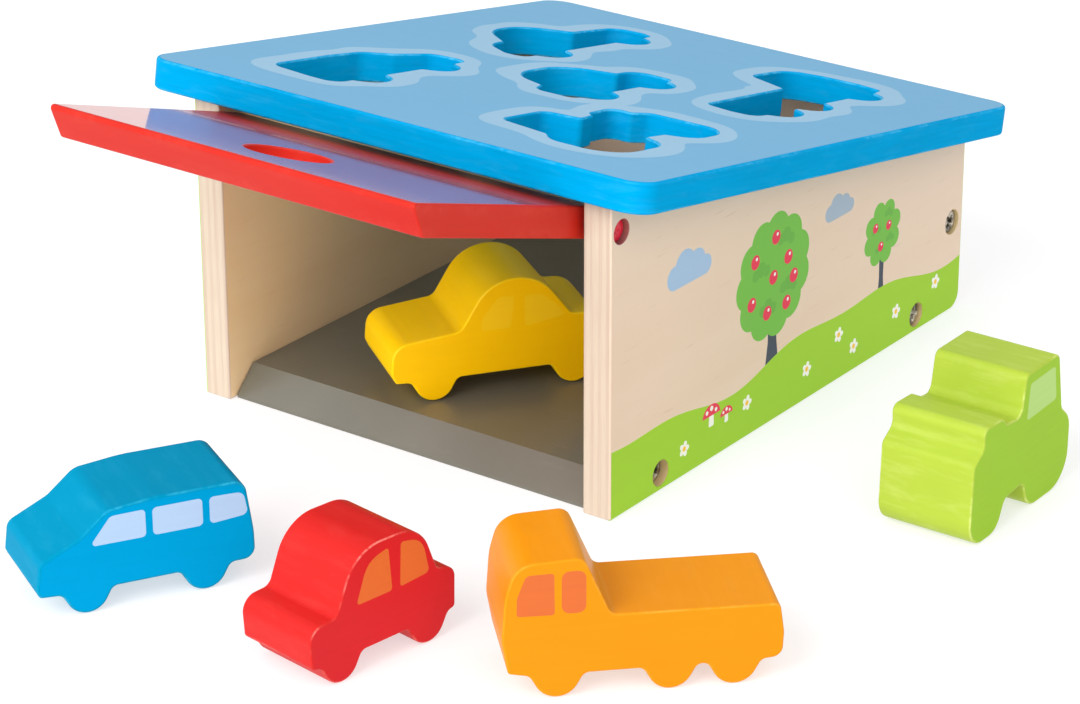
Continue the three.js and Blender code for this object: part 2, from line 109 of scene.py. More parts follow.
# Each point moves along the mean of its sides' normals, so that each side moves by the distance
def offsetOutline(points, distance):
    into = unit(points - np.roll(points, 1, 0))
    out = unit(np.roll(points, -1, 0) - points)
    mitre = np.stack([into[:, 1] + out[:, 1], -into[:, 0] - out[:, 0]], 1)
    mitre *= (distance / (1 + (into * out).sum(1)))[:, None]
    return points + mitre * np.sign(enclosedArea(points))


def fullTurn(count):
    return np.arange(count) * 2 * math.pi / count


def directions(turn):
    return np.stack([np.cos(turn), np.sin(turn)], 1)


def circle(centre, radius, count=48):
    return np.array(centre) + radius * directions(fullTurn(count))


def raised(points, height):
    return np.column_stack([points, np.full(len(points), height)])


# A point is inside where a level line to its right crosses the outline an odd number of times
def isInside(points, polygon):
    x, y = points[:, 0, None], points[:, 1, None]
    x0, y0 = polygon[:, 0], polygon[:, 1]
    x1, y1 = np.roll(x0, -1), np.roll(y0, -1)
    crosses = (y0 > y) != (y1 > y)
    rise = np.where(y1 == y0, 1, y1 - y0)
    return (crosses & (x < x0 + (y - y0) / rise * (x1 - x0))).sum(1) % 2 == 1


# Boards and blocks: each edge loop is a grid of rows from the upper face to the lower one

# An edge with a quarter round at each face: the inset is the rounding times one less the sine, the depth
# the rounding times one less the cosine
def roundedRows(outline, thickness, rounding, steps=5):
    angles = np.linspace(0, math.pi / 2, steps)
    inset = rounding * (1 - np.sin(angles))
    depth = abs(rounding) * (1 - np.cos(angles))
    insets = np.concatenate([inset, inset[::-1]])
    heights = np.concatenate([thickness - depth, depth[::-1]])
    return np.stack([raised(offsetOutline(outline, -i), h) for i, h in zip(insets, heights)])


# An opening: its loop grows at the faces
def openingRows(outline, thickness, rounding, steps=4):
    rows = roundedRows(turned(outline), thickness, -rounding, steps)
    return rows[:, ::-1]


# A stepped hole: a circle for each radius and height
def steppedRows(centre, radiiAndHeights):
    rows = [raised(circle(centre, radius), height) for radius, height in radiiAndHeights]
    return np.stack(rows)[:, ::-1]


# The normal is the cross product of the grid's two directions. At a sharp row each band keeps its own.
def bandNormals(rows, sharp):
    along = np.roll(rows, -1, 1) - np.roll(rows, 1, 1)
    down = np.diff(rows, axis=0)
    smooth = np.concatenate([down[:1], down[:-1] + down[1:], down[-1:]])
    first, last = smooth[:-1].copy(), smooth[1:].copy()
    for row in sharp:
        if row < len(down):
            first[row] = down[row]
        last[row - 1] = down[row - 1]
    return unit(np.cross(first, along[:-1])), unit(np.cross(last, along[1:]))


# A face between its rims, in triangles, with the number of the last print each lies in, and for each
# point its place among the rims' points, or -1
def fillFace(rims, prints):
    loops = [*rims, *(polygon for polygon, _ in prints)]
    starts = np.cumsum([0, *(len(loop) for loop in loops)])
    edges = np.concatenate([
        np.column_stack([np.arange(a, b), np.roll(np.arange(a, b), -1)])
        for a, b in zip(starts[:-1], starts[1:])
    ])
    points = [Vector(point) for point in np.concatenate(loops)]
    wholeHull, closeness = 0, 1e-5
    made = delaunay_2d_cdt(points, edges.tolist(), [], wholeHull, closeness)
    flat = np.array([list(point) for point in made[0]])
    triangles = np.array(made[2])
    middles = flat[triangles].mean(1)
    kept = isInside(middles, rims[0])
    for hole in rims[1:]:
        kept &= ~isInside(middles, hole)
    triangles, middles = triangles[kept], middles[kept]
    ends = flat[triangles]
    arms = ends[:, 1:] - ends[:, :1]
    area = arms[:, 0, 0] * arms[:, 1, 1] - arms[:, 0, 1] * arms[:, 1, 0]
    triangles[area < 0] = triangles[area < 0][:, ::-1]
    region = np.zeros(len(triangles), int)
    for number, (polygon, _) in enumerate(prints, 1):
        region[isInside(middles, polygon)] = number
    rimCount = sum(len(rim) for rim in rims)
    twins = np.array([min([i for i in ids if i < rimCount], default=-1) for ids in made[3]])
    return flat, triangles, region, twins


# Wear, partly rubbed paint and partly a painted highlight along the arrises, is a half sine wave over each
# face's rounding, and along the outline the turn for each millimetre, less a gentle corner's
def edgeWearAndHighlight(rows, cornerWearAndHighlight):
    half = len(rows) // 2
    rim = np.sin(math.pi * np.linspace(0, 1, half))
    wearAndHighlight = np.concatenate([rim, np.zeros(len(rows) - 2 * half), rim[::-1]])
    middle = rows[half, :, :2]
    into = middle - np.roll(middle, 1, 0)
    on = np.roll(middle, -1, 0) - middle
    turn = np.arccos(np.clip((unit(into) * unit(on)).sum(1), -1, 1))
    turn *= into[:, 0] * on[:, 1] > into[:, 1] * on[:, 0]
    reach = np.maximum(lengths(into), lengths(on))
    corners = np.clip(turn / np.maximum(reach, tinyLength) - gentleTurn, 0, 1)
    return np.maximum(wearAndHighlight[:, None], cornerWearAndHighlight * corners)


# Quads of a grid whose rows are closed loops
def gridQuads(index):
    on = np.roll(index, -1, 1)
    return np.stack([index[:-1], index[1:], on[1:], on[:-1]], -1).reshape(-1, 4)


bareInk = (0, 0, 0, 0)


def addObject(name, data):
    thing = bpy.data.objects.new(name, data)
    bpy.context.scene.collection.objects.link(thing)
    return thing


def addPiece(name, points, place, faces, materials):
    world = points @ place[:3, :3].T + place[:3, 3]
    mesh = bpy.data.meshes.new(name)
    mesh.from_pydata((world * mm).tolist(), [], faces)
    for material in materials:
        mesh.materials.append(material)
    mesh.polygons.foreach_set("use_smooth", [True] * len(faces))
    mesh.update()
    return addObject(name, mesh)


# One closed mesh from edge loops: the first runs round the outside, the others round openings.
# Materials are for the upper face, the edges and the lower face, which takes the first of two. Wrapped
# prints go on over the upper face's roundings. Each loop can have an edge ink, and openings sharp rows.
# The corner share scales the pale marks at outline corners, and the hole share those round openings:
# rubbed paint and painted highlight at once.
def makeBoard(name, loops, prints, place, grainAcross, materials, bothFaces=False,
              sharpRows=(), edgeInks=None, wrapped=False, cornerWearAndHighlight=0.0, holeWearAndHighlight=1.0):
    vertices, faces, uvs, inks, normals, slots, wearAndHighlight = [], [], [], [], [], [], []
    grids = []
    count = 0
    for number, rows in enumerate(loops):
        rowCount, size = rows.shape[:2]
        grids.append(count + np.arange(rowCount * size).reshape(rowCount, size))
        faces += gridQuads(grids[-1]).tolist()
        steps = lengths(np.roll(rows[0], -1, 0) - rows[0])
        run = np.concatenate([[0], np.cumsum(steps)])
        drops = lengths(np.diff(rows, axis=0)).max(1)
        fall = np.concatenate([[0], np.cumsum(drops)])
        here, there = np.meshgrid(np.arange(rowCount - 1), np.arange(size), indexing="ij")
        corners = [(here, there), (here + 1, there), (here + 1, there + 1), (here, there + 1)]
        runFall = np.stack([np.stack([run[c], fall[r]], -1) for r, c in corners], 2).reshape(-1, 2)
        uvs.append(runFall if grainAcross else runFall[:, ::-1])
        sharp = sharpRows if number else ()
        upper, lower = bandNormals(rows, sharp)
        upper[0] = (0, 0, 1)
        if rowCount - 1 not in sharp:
            lower[-1] = (0, 0, -1)
        ofQuads = [upper, lower, np.roll(lower, -1, 1), np.roll(upper, -1, 1)]
        normals.append(np.stack(ofQuads, 2).reshape(-1, 3))
        vertices.append(rows.reshape(-1, 3))
        edgeInk = np.array(edgeInks[number] if edgeInks else bareInk, float)
        bandInk = np.tile(edgeInk, (rowCount - 1, size, 1))
        bandSlot = np.ones((rowCount - 1, size), int)
        if wrapped:
            bands = rowCount // 2 - 1 if number == 0 else 1
            for polygon, ink in prints:
                bandInk[:bands, isInside(rows[0, :, :2], polygon)] = ink
            bandSlot[:bands] = 0
        inks.append(np.repeat(bandInk.reshape(-1, 4), 4, 0))
        slots += bandSlot.ravel().tolist()
        wearAndHighlight.append(edgeWearAndHighlight(rows, cornerWearAndHighlight).ravel() * (holeWearAndHighlight if number else 1))
        count += rowCount * size
    for isUpper in (True, False):
        rimRow = 0 if isUpper else -1
        shown = prints if isUpper or bothFaces else []
        flat, triangles, region, twins = fillFace([rows[rimRow, :, :2] for rows in loops], shown)
        rimIndex = np.concatenate([grid[rimRow] for grid in grids])
        used = np.zeros(len(flat), bool)
        used[triangles] = True
        fresh = used & (twins < 0)
        index = np.where(fresh, count + np.cumsum(fresh) - 1, rimIndex[np.maximum(twins, 0)])
        level = loops[0][rimRow, 0, 2]
        vertices.append(raised(flat[fresh], level))
        wearAndHighlight.append(np.zeros(fresh.sum()))
        count += fresh.sum()
        if not isUpper:
            triangles = triangles[:, ::-1]
        faces += index[triangles].tolist()
        palette = np.array([bareInk, *(ink for _, ink in shown)], float)
        inks.append(np.repeat(palette[region], 3, 0))
        uvs.append(flat[triangles].reshape(-1, 2)[:, ::-1])
        normals.append(np.tile((0, 0, 1 if isUpper else -1), (len(triangles) * 3, 1)))
        slots += [0 if isUpper else (len(materials) - 1) // 2 * 2] * len(triangles)
    piece = addPiece(name, np.concatenate(vertices), place, faces, materials)
    mesh = piece.data
    grain = mesh.uv_layers.new(name="grain")
    grain.data.foreach_set("uv", (np.concatenate(uvs) * mm).astype(np.float32).ravel())
    ink = mesh.color_attributes.new("ink", "FLOAT_COLOR", "CORNER")
    ink.data.foreach_set("color", np.concatenate(inks).astype(np.float32).ravel())
    wornAndHighlight = mesh.attributes.new("wearAndHighlight", "FLOAT", "POINT")
    wornAndHighlight.data.foreach_set("value", np.concatenate(wearAndHighlight).astype(np.float32))
    mesh.polygons.foreach_set("material_index", slots)
    mesh.normals_split_custom_set((np.concatenate(normals) @ place[:3, :3].T).tolist())
    mesh.update()
    return piece


# A placement's columns say where a board's own x, y and z go
def placement(xAxis, yAxis, zAxis, origin):
    matrix = np.eye(4)
    matrix[:3, :3] = np.array([xAxis, yAxis, zAxis], float).T
    matrix[:3, 3] = origin
    return matrix


# A board that is tilted about x, so that its rear end sinks
def tilted(angle, origin):
    c, s = math.cos(angle), math.sin(angle)
    return placement((1, 0, 0), (0, c, -s), (0, s, c), origin)


# Colours are given as they look on a screen, from 0 to 255, and sRGB's own curve makes them linear
def linear(red, green, blue, alpha=1.0):
    shares = np.array([red, green, blue]) / 255
    values = np.where(shares <= 0.04045, shares / 12.92, ((shares + 0.055) / 1.055) ** 2.4)
    return (*(float(value) for value in values), alpha)


# Materials

noiseMiddle = (0.3, 0.7)  # most of a noise's values lie between these


class Nodes:
    def __init__(self, name):
        self.material = bpy.data.materials.new(name)
        self.material.use_nodes = True
        self.tree = self.material.node_tree
        self.shader = self.tree.nodes["Principled BSDF"]

    def add(self, kind, links=None, **settings):
        node = self.tree.nodes.new(kind)
        for key, value in settings.items():
            setattr(node, key, value)
        for socket, source in (links or {}).items():
            self.link(source, node.inputs[socket])
        return node

    def link(self, source, socket):
        if isinstance(source, bpy.types.NodeSocket):
            self.tree.links.new(source, socket)
        else:
            socket.default_value = source

    def objectPlace(self):
        return self.add("ShaderNodeTexCoord").outputs["Object"]

    def grainPlace(self):
        return self.add("ShaderNodeUVMap", uv_map="grain").outputs[0]

    def axis(self, vector, number):
        return self.add("ShaderNodeSeparateXYZ", {"Vector": vector}).outputs[number]

    def noise(self, coordinates, scale, detail, roughness, distortion=0.0):
        mapping = self.add("ShaderNodeMapping", {"Vector": coordinates, "Scale": scale})
        links = {"Vector": mapping.outputs[0], "Scale": 1.0, "Detail": detail,
                 "Roughness": roughness, "Distortion": distortion}
        return self.add("ShaderNodeTexNoise", links).outputs["Fac"]

    def remapped(self, factor, low, high, newLow, newHigh):
        links = {"Value": factor, "From Min": low, "From Max": high, "To Min": newLow, "To Max": newHigh}
        return self.add("ShaderNodeMapRange", links).outputs[0]

    def ramp(self, factor, low, high):
        return self.remapped(factor, low, high, 0.0, 1.0)

    def span(self, factor, low, high):
        return self.remapped(factor, 0.0, 1.0, low, high)

    # One less the change to one more
    def aroundOne(self, noise, change):
        return self.span(self.ramp(noise, *noiseMiddle), 1 - change, 1 + change)

    def mix(self, factor, first, second, blend="MIX"):
        links = {0: factor, 6: first, 7: second}
        return self.add("ShaderNodeMix", links, data_type="RGBA", blend_type=blend).outputs[2]

    def combine(self, operation, first, second):
        return self.add("ShaderNodeMath", {0: first, 1: second}, operation=operation).outputs[0]

    def multiply(self, first, second):
        return self.combine("MULTIPLY", first, second)

    def inked(self, color):
        ink = self.add("ShaderNodeAttribute", attribute_name="ink")
        return self.mix(ink.outputs["Alpha"], color, ink.outputs["Color"])

    def finish(self, color, roughness, bump=None, distance=0.0, **sockets):
        self.link(color, self.shader.inputs["Base Color"])
        self.link(roughness, self.shader.inputs["Roughness"])
        for name, value in sockets.items():
            self.shader.inputs[name].default_value = value
        if bump is not None:
            node = self.add("ShaderNodeBump", {"Height": bump, "Strength": 1.0, "Distance": distance})
            self.link(node.outputs[0], self.shader.inputs["Normal"])
        return self.material


# Noises in paint: the streaks' scale is multiplied across the grain and divided along it by the first
# two numbers, and the last three have a scale for each axis. Then come detail, roughness and distortion.
paintPatterns = {
    "streaks": (1, 22, 4, 0.6),
    "fine": (3, 9, 2, 0.5),
    "brushed": (0.4, 12, 4, 0.65, 0.4),
    "drift": ((26, 26, 26), 3, 0.5),
    "patches": ((75, 75, 75), 2, 0.5),
    "nicks": ((420, 420, 420), 3, 0.6),
}
paintSteps = {
    "brushed": (0.5, 0.7), "patches": (0.44, 0.58), "nicks": (0.36, 0.56),
    "fineShare": 0.35, "roughness": (-0.05, 0.07),
}


# Paint on wood: the grain shows as fine streaks, the colour drifts and fades in brushed streaks, edges are
# paler where rubbed and where a highlight is painted on them, and prints carry their own ink. Matt is from
# where to where along the grain the roughness rises, and by how much.
def paintedWood(name, paint, pale, s):
    made = Nodes(name)
    grain = made.grainPlace()
    everywhere = made.objectPlace()

    def alongGrain(pattern):
        across, along, *rest = paintPatterns[pattern]
        return made.noise(grain, (s["streaks"] * across, s["streaks"] / along, 1), *rest)

    def spots(pattern):
        return made.ramp(made.noise(everywhere, *paintPatterns[pattern]), *paintSteps[pattern])

    streaks = alongGrain("streaks")
    fine = alongGrain("fine")
    shade = made.aroundOne(streaks, s["contrast"])
    blot = made.aroundOne(made.noise(everywhere, *paintPatterns["drift"]), s["drift"])
    faded = made.multiply(made.ramp(alongGrain("brushed"), *paintSteps["brushed"]), s.get("faded", 0.0))
    painted = made.mix(faded, made.inked(paint), pale)
    # The wear attribute's pale marks on the arrises are partly rubbed paint and partly a painted highlight
    wearAndHighlight = made.add("ShaderNodeAttribute", attribute_name="wearAndHighlight").outputs["Fac"]
    rubbedAndHighlit = made.multiply(wearAndHighlight, made.span(spots("patches"), *s["wearAndHighlight"]))
    rubbedAndHighlit = made.multiply(rubbedAndHighlit, spots("nicks"))
    painted = made.mix(rubbedAndHighlit, painted, pale)
    painted = made.mix(1.0, painted, made.multiply(shade, blot), "MULTIPLY")
    height = made.mix(paintSteps["fineShare"], streaks, fine)
    roughness = made.span(fine, *(s["roughness"] + change for change in paintSteps["roughness"]))
    if "matt" in s:
        start, end, added = s["matt"]
        rise = made.ramp(made.axis(grain, 0), start * mm, end * mm)
        roughness = made.combine("ADD", roughness, made.multiply(rise, added))
    return made.finish(painted, roughness, height, s["relief"] * mm,
                       **{"Specular IOR Level": s["gloss"]}, **s.get("coat", {}))


# Birch veneer: two tans in long soft streaks, short darker pores, and printed ink on top. Where it has a
# deep share, painted shade darkens it from the garage's front to that share at its rear.
def birchFace(name, s, printed, stretch):
    made = Nodes(name)
    coordinates = made.grainPlace() if printed else made.objectPlace()

    def stretched(scale, *rest):
        return made.noise(coordinates, tuple(scale * share for share in stretch), *rest)

    figure = stretched(*s["figure"])
    pores = stretched(*s["fineness"])
    wood = made.mix(made.ramp(figure, *noiseMiddle), s["pale"], s["tan"])
    poreMark = made.multiply(made.ramp(pores, *s["poreStep"]), s["pores"])
    wood = made.mix(poreMark, wood, s["pore"])
    # Painted shade: the wood darkens towards the garage's rear
    if "deep" in s:
        depth = made.ramp(made.axis(made.objectPlace(), 1), wallFront * mm, -wallFront * mm)
        wood = made.mix(1.0, wood, made.span(depth, 1.0, s["deep"]), "MULTIPLY")
    if printed:
        wood = made.mix(1.0, made.inked(wood), made.aroundOne(figure, s["lift"]), "MULTIPLY")
    return made.finish(wood, made.span(figure, *s["roughness"]), pores, s["relief"] * mm)


# Plywood's edge: layers across the board's thickness, end grain and long grain by turns
def plyEdge(name, s, thickness):
    made = Nodes(name)
    grain = made.grainPlace()
    shift = made.span(made.noise(grain, *s["waver"]), -s["shift"], s["shift"])
    across = made.multiply(made.axis(grain, 0), s["layers"] / (thickness * mm))
    wave = made.combine("PINGPONG", made.combine("ADD", across, shift), 1.0)
    layer = made.ramp(wave, *s["layerStep"])
    fibres = made.noise(grain, *s["fibres"])
    strength = made.ramp(made.noise(grain, *s["strength"]), *s["strengthStep"])
    wood = made.mix(made.multiply(layer, strength), s["pale"], s["pink"])
    darker = made.multiply(made.ramp(fibres, *s["fibreStep"]), s["fibreShare"])
    wood = made.inked(made.mix(darker, wood, s["dark"]))
    return made.finish(wood, made.span(fibres, *s["roughness"]), fibres, s["relief"] * mm)


# The lid

lidSettings = {
    "thickness": 9.2, "rounding": 0.9, "printInset": 0.95, "cornerRound": 8, "halfWidth": 89.65,
    "front": -6.6, "rear": 201.4116, "gap": 0.3, "openingGap": 1, "openingRounding": 0.7,
    # The worn colour is both rubbed paint and a painted highlight on the lid's arrises
    "haloWidth": 7.4, "haloWave": 0.8, "paint": linear(0, 151, 207), "wornAndHighlight": linear(86, 182, 224),
    "print": linear(105, 168, 206), "halo": linear(143, 185, 213),
}

# Side views: axles and corners [x, z, rounding], in thousandths of length and height
blockShares = {
    "van": ([768, 228], [
        [13, 227, 39], [0, 292, 49], [16, 552, 114], [203, 734, 195], [331, 955, 195], [547, 1000, 974],
        [961, 994, 130], [997, 487, 649], [1000, 215, 110],
    ]),
    "red_car": ([810, 224], [
        [30, 193, 41], [15, 519, 138], [198, 530, 83], [327, 1000, 387], [768, 989, 387],
        [875, 580, 70], [1000, 519, 97], [996, 199, 33],
    ]),
    "truck": ([825, 596, 194], [
        [22, 191, 25], [0, 427, 302], [11, 729, 503], [49, 975, 201], [288, 1000, 88], [385, 578, 68],
        [984, 568, 50], [1000, 352, 151], [995, 175, 126],
    ]),
    "yellow_car": ([815, 191], [
        [20, 188, 33], [0, 276, 83], [11, 525, 193], [308, 586, 97], [436, 1000, 387], [655, 1000, 387],
        [803, 624, 69], [917, 608, 249], [1000, 331, 110], [994, 190, 55],
    ]),
    "tractor": ([], [
        [19, 588, 58], [113, 668, 65], [106, 811, 58], [295, 802, 58], [332, 742, 65], [476, 724, 65],
        [514, 1000, 58], [850, 1000, 58], [906, 576, 92], [1000, 472, 207], [997, 0, 253],
        [585, 0, 219], [529, 217, 65], [349, 194, 69], [279, 0, 150], [0, 0, 173],
    ]),
}
wheelLobe = [[7.2, 6.5, 2.5], [3.6, 0, 6.2], [-3.6, 0, 6.2], [-7.2, 6.5, 2.5]]  # about an axle, in mm

# Each block's size, its opening's middle on the lid, where it stands, and its paint and windows. The
# swept faces' edge colour differs from the sides' partly as paint taken up by end grain and partly as
# painted light and shade, and the worn colour is both rubbed paint and a painted highlight on the arrises.
blockSettings = {
    "van": {
        "node": "block_van", "size": (62.2, 30.8, 30), "opening": (-0.265, 0.255),
        "place": (-11.2, -202.6, 0), "yaw": 60.5, "slot": "van_paint",
        "rounding": 0.7, "wearAndHighlight": 0.4, "gloss": 0.01, "mottle": 0.03, "faded": 0.09,
        "paint": (0, 147, 199), "wornAndHighlight": (66, 184, 220), "edge": (0, 136, 175), "glass": (166, 194, 224),
        "windows": [
            [[15.2, 19.6, 0.9], [21.4, 27.6, 2.2], [31.2, 27.7, 1.2], [31.2, 19.5, 1.2]],
            [[33.2, 19.5, 1.3], [33.2, 27.7, 1.3], [47.4, 27.7, 1.3], [47.4, 19.5, 1.3]],
            [[49.4, 19.5, 1.3], [49.4, 27.6, 1.3], [59.2, 27.3, 2.4], [60.4, 20.4, 1.6]],
        ],
    },
    "red_car": {
        "node": "block_car_red", "size": (52.6, 36.2, 27), "opening": (-0.004, 0.492),
        "place": (62, -198, 0), "yaw": 81, "slot": "red_car_paint",
        "rounding": 0.5, "wearAndHighlight": 0.9, "gloss": 0.12, "mottle": 0.025, "faded": 0.04,
        "paint": (203, 29, 36), "wornAndHighlight": (240, 134, 124), "edge": (200, 34, 31), "glass": (213, 104, 46),
        "windows": [
            [[17.3, 20.3, 0.8], [21.4, 31.4, 7], [28.8, 33.2, 0.9], [29.9, 20.2, 0.9]],
            [[32.7, 20.2, 0.9], [33.2, 33.2, 0.9], [40.8, 31.6, 6.5], [43.2, 20.9, 1.2]],
        ],
    },
    "truck": {
        "node": "block_truck", "size": (74.2, 39.8, 30), "opening": (0.23, 0.709),
        "place": (128.7, -161.6, 0), "yaw": 44.9, "slot": "truck_paint",
        "rounding": 0.6, "wearAndHighlight": 0.35, "gloss": 0.12, "mottle": 0.04, "faded": 0.08,
        "paint": (215, 135, 5), "wornAndHighlight": (240, 172, 78), "edge": (222, 139, 8), "glass": (203, 101, 49),
        "windows": [
            [[3.9, 24.2, 0.8], [4.0, 29.4, 3], [6.4, 35.8, 1.8], [13.7, 36, 0.9], [13.8, 24, 0.9]],
            [[15.6, 24.2, 2.2], [15.6, 36.3, 2.2], [22, 36.3, 2.2], [22, 24.2, 2.2]],
        ],
    },
    "yellow_car": {
        "node": "block_car_yellow", "size": (70.2, 36.2, 30), "opening": (-0.256, 0.721),
        "place": (-2.4, -50.5, 9.2), "yaw": 54.5, "slot": "yellow_car_paint",
        "rounding": 0.6, "wearAndHighlight": 0.3, "gloss": 0.12, "mottle": 0.05, "faded": 0.1,
        "paint": (255, 200, 0), "wornAndHighlight": (255, 226, 84), "edge": (255, 207, 0), "glass": (255, 207, 26),
        "windows": [
            [[27.7, 20.6, 0.8], [28.4, 24.6, 1], [33.6, 31, 2.4], [38.3, 30.4, 0.8], [37.2, 20.4, 0.8]],
            [[41.5, 20.3, 0.8], [41.5, 30.3, 0.8], [46.8, 30.2, 2.4], [51.3, 26.4, 2], [54.4, 22.4, 0.8]],
        ],
    },
    "tractor": {
        "node": "block_tractor", "size": (57.2, 43.4, 30), "opening": (0.228, 0.233),
        "place": (152.4, -25.5, 0), "yaw": 90.4, "slot": "tractor_paint",
        "rounding": 0.6, "wearAndHighlight": 0.75, "gloss": 0.16, "mottle": 0.05, "faded": 0.2,
        "paint": (147, 189, 18), "wornAndHighlight": (210, 222, 132), "edge": (166, 189, 60), "glass": (173, 206, 114),
        "windows": [
            [[30.6, 28.8, 1], [31.8, 39.8, 1], [46.2, 40.2, 1.4], [47.8, 29.4, 1]],
        ],
    },
}


# A block's side view: its body's corners, and four corners for each wheel
def vehicleOutline(key):
    length, height, _ = blockSettings[key]["size"]
    axles, shares = blockShares[key]
    corners = [[x / 1000 * length, z / 1000 * height, r / 1000 * height] for x, z, r in shares]
    corners += [[axle / 1000 * length + x, z, r] for axle in axles for x, z, r in wheelLobe]
    return roundedOutline(corners)


roofFront = 96.6
roofRear = 61.1
wallFront = -97.3
roofSlope = math.atan2(roofFront - roofRear, -2 * wallFront)
roofLength = math.hypot(roofFront - roofRear, 2 * wallFront)
roofPlace = tilted(roofSlope, (0, wallFront, roofFront))


def openingOutline(key):
    length, height, _ = blockSettings[key]["size"]
    acrossShare, downShare = blockSettings[key]["opening"]
    wider = offsetOutline(vehicleOutline(key), lidSettings["openingGap"])
    across = acrossShare * 2 * lidSettings["halfWidth"] + height / 2 - wider[:, 1]
    down = downShare * roofLength + length / 2 - wider[:, 0]
    return turned(np.column_stack([across, down]))


# Waves are lobes in a full turn and a share. The blur is over neighbouring directions.
haloSearch = {
    "directions": 160, "distances": (5, 62, 229), "waves": [(3, 1), (7, 0.6), (13, 0.35)],
    "phase": 1.7, "blurReach": 8, "blurWidth": 2.2,
}


# The pale band round an opening: in each direction from its middle, the farthest point within a band's
# width of it, with a slow wave in the width
def haloOutline(opening, number):
    s = haloSearch
    middle = (opening.min(0) + opening.max(0)) / 2
    turn = fullTurn(s["directions"])
    phase = number * s["phase"]
    waves = sum(share * np.sin(lobes * turn + order * phase)
                for order, (lobes, share) in enumerate(s["waves"], 1))
    width = lidSettings["haloWidth"] + lidSettings["haloWave"] * waves
    distances = np.linspace(*s["distances"])
    ways = directions(turn)
    points = middle + distances[None, :, None] * ways[:, None, :]
    side = np.roll(opening, -1, 0) - opening
    offset = points[:, :, None, :] - opening
    share = np.clip((offset * side).sum(-1) / (side ** 2).sum(-1), 0, 1)
    away = lengths(offset - share[..., None] * side).min(-1)
    reach = np.where(away < width[:, None], distances, 0).max(1)
    around = s["blurReach"]
    kernel = np.exp(-0.5 * (np.arange(-around, around + 1) / s["blurWidth"]) ** 2)
    kernel /= kernel.sum()
    reach = np.convolve(np.concatenate([reach[-around:], reach, reach[:around]]), kernel, "valid")
    return middle + reach[:, None] * ways


def makeLid():
    s = lidSettings
    outline = rectangle(-s["halfWidth"], s["front"], s["halfWidth"], s["rear"], s["cornerRound"], 4)
    openings = [openingOutline(key) for key in blockSettings]
    loops = [roundedRows(outline, s["thickness"], s["rounding"])]
    loops += [openingRows(opening, s["thickness"], s["openingRounding"]) for opening in openings]
    for rows in loops:
        rows[..., 2] += s["gap"]
    prints = [(offsetOutline(outline, -s["printInset"]), s["print"])]
    prints += [(haloOutline(opening, number), s["halo"]) for number, opening in enumerate(openings, 1)]
    paint = paintedWood("lidPaint", s["paint"], s["wornAndHighlight"], {
        "streaks": 700, "contrast": 0.015, "drift": 0.01, "wearAndHighlight": (0.15, 0.7), "roughness": 0.42,
        "relief": 0.012, "gloss": 0.12,
    })
    edgePaint = paintedWood("lidEdgePaint", s["paint"], s["wornAndHighlight"], {
        "streaks": 800, "contrast": 0.06, "drift": 0.04, "wearAndHighlight": (0.05, 0.45), "roughness": 0.42,
        "relief": 0.03, "faded": 0.09, "gloss": 0.005,
    })
    return makeBoard("lidBoard", loops, prints, roofPlace, False, [paint, edgePaint], holeWearAndHighlight=2.2)


lidBoard = makeLid()
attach(lidBoard, "garage")
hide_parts("lid")
print("lid made")


# Vehicle blocks

def makeBlock(key):
    s = blockSettings[key]
    length, height, thickness = s["size"]
    paint, wornAndHighlight, edge, glass = (linear(*s[name]) for name in ("paint", "wornAndHighlight", "edge", "glass"))
    outline = turned(vehicleOutline(key))
    loops = [roundedRows(outline, thickness, s["rounding"])]
    windows = [(turned(roundedOutline(window, printStep)), glass) for window in s["windows"]]
    facePaint = paintedWood(key + "Paint", paint, wornAndHighlight, {
        "streaks": 620, "contrast": 0.02, "drift": 0.025, "wearAndHighlight": (0, s["wearAndHighlight"]), "roughness": 0.42,
        "relief": 0.012, "gloss": s["gloss"],
    })
    # Swept faces: their colour is partly end-grain paint and partly painted light and shade
    edgePaint = paintedWood(key + "EdgePaint", edge, wornAndHighlight, {
        "streaks": 620, "contrast": s["mottle"] / 3, "drift": s["mottle"], "wearAndHighlight": (0, s["wearAndHighlight"]),
        "roughness": 0.4, "relief": 0.02, "faded": s["faded"], "gloss": s["gloss"],
    })
    yaw = math.radians(s["yaw"])
    xAxis = np.array((math.cos(yaw), math.sin(yaw), 0))
    zAxis = np.array((math.sin(yaw), -math.cos(yaw), 0))
    origin = np.array(s["place"]) - xAxis * length / 2 - zAxis * thickness / 2
    place = placement(xAxis, (0, 0, 1), zAxis, origin)
    block = makeBoard(key + "Block", loops, windows, place, True, [facePaint, edgePaint], True,
                      cornerWearAndHighlight=0.7)
    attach(block, key)
    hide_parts(s["node"])


for blockKey in blockSettings:
    makeBlock(blockKey)
print("blocks made:", len(blockSettings))


# The door: rows from its outer face to its inner one, each a rectangle whose front end follows the mitre
# and whose rear end follows the half round about the hinge

doorSettings = {
    "width": 128, "length": 83.6244, "thickness": 9.4, "mitre": 7.6, "tipRound": 1.1, "rounding": 0.6,
    "cornerRound": 0.7, "rows": 27, "holeRadius": 12.2, "holeFromTip": 28, "holeRounding": 0.6,
    "holePoints": 72, "holeSteps": 5, "hinge": (0, -92.5, 87.2244), "opening": 18.3,
    # The worn colour is both rubbed paint and a painted highlight on the door's edges
    "paint": linear(190, 14, 8), "edge": linear(198, 38, 26), "wornAndHighlight": linear(230, 92, 78),
}


